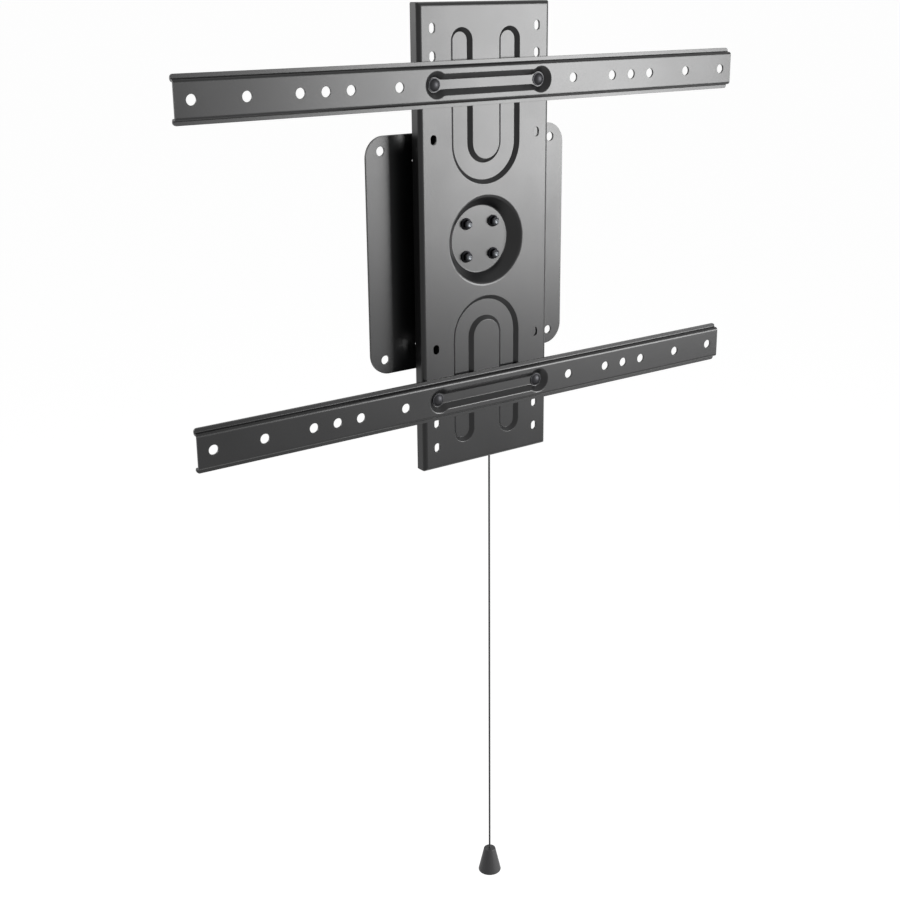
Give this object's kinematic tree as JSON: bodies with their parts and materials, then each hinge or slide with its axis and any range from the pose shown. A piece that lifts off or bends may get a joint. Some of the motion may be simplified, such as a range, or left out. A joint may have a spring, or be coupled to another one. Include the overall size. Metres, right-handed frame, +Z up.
{
  "type": "rotating tv wall mount",
  "caption": "Low-profile TV wall mount that turns a screen between landscape and portrait, with a square wall plate, a pressed tower plate, two hat-section rails and a pull-cord latch.",
  "frame": {"origin": "centre of the four wall holes of the wall plate, on the wall", "axes": "+X to the right as seen from the room, +Y into the wall, +Z up"},
  "size_m": [0.63, 0.038, 0.9515],
  "materials": {
    "powder_black": "satin",
    "black_oxide": "satin",
    "zinc_steel": "satin",
    "nylon_white": "matte",
    "pull_plastic": "matte",
    "cord_black": "matte"
  },
  "bodies": {
    "wall": {"wall_plate": "powder_black", "bearing_cup": "nylon_white", "bearing_ring": "nylon_white", "retaining_ring": "zinc_steel", "ring_spacers": "zinc_steel", "ring_rivets": "zinc_steel", "guide_rivets": "zinc_steel", "latch_spring": "zinc_steel"},
    "tower": {"index_disc": "zinc_steel", "hub_spacer": "zinc_steel", "hub_studs": "zinc_steel", "dish_nuts": "black_oxide", "tower_plate": "powder_black", "upper_rail": "powder_black", "lower_rail": "powder_black", "rail_bolts": "black_oxide", "rail_washers": "zinc_steel", "rail_nuts": "zinc_steel"},
    "latch": {"latch_slide": "zinc_steel", "link_pin": "zinc_steel", "cord_ferrule": "zinc_steel", "pull_cord": "cord_black", "cord_knot": "cord_black", "pull_tip": "pull_plastic"}
  },
  "joints": [
    {"name": "tower_turn", "type": "hinge", "parent": "wall", "child": "tower", "pos_m": [0, 0, 0.01], "axis": [0, 1, 0], "range_deg": [0, 90]},
    {"name": "latch_slide", "type": "slide", "parent": "wall", "child": "latch", "axis": [0, 0, 1], "range_m": [0, 0.006], "stiffness_N_per_m": 400, "springref_m": 0.016, "deforming": ["latch_spring"]}
  ]
}
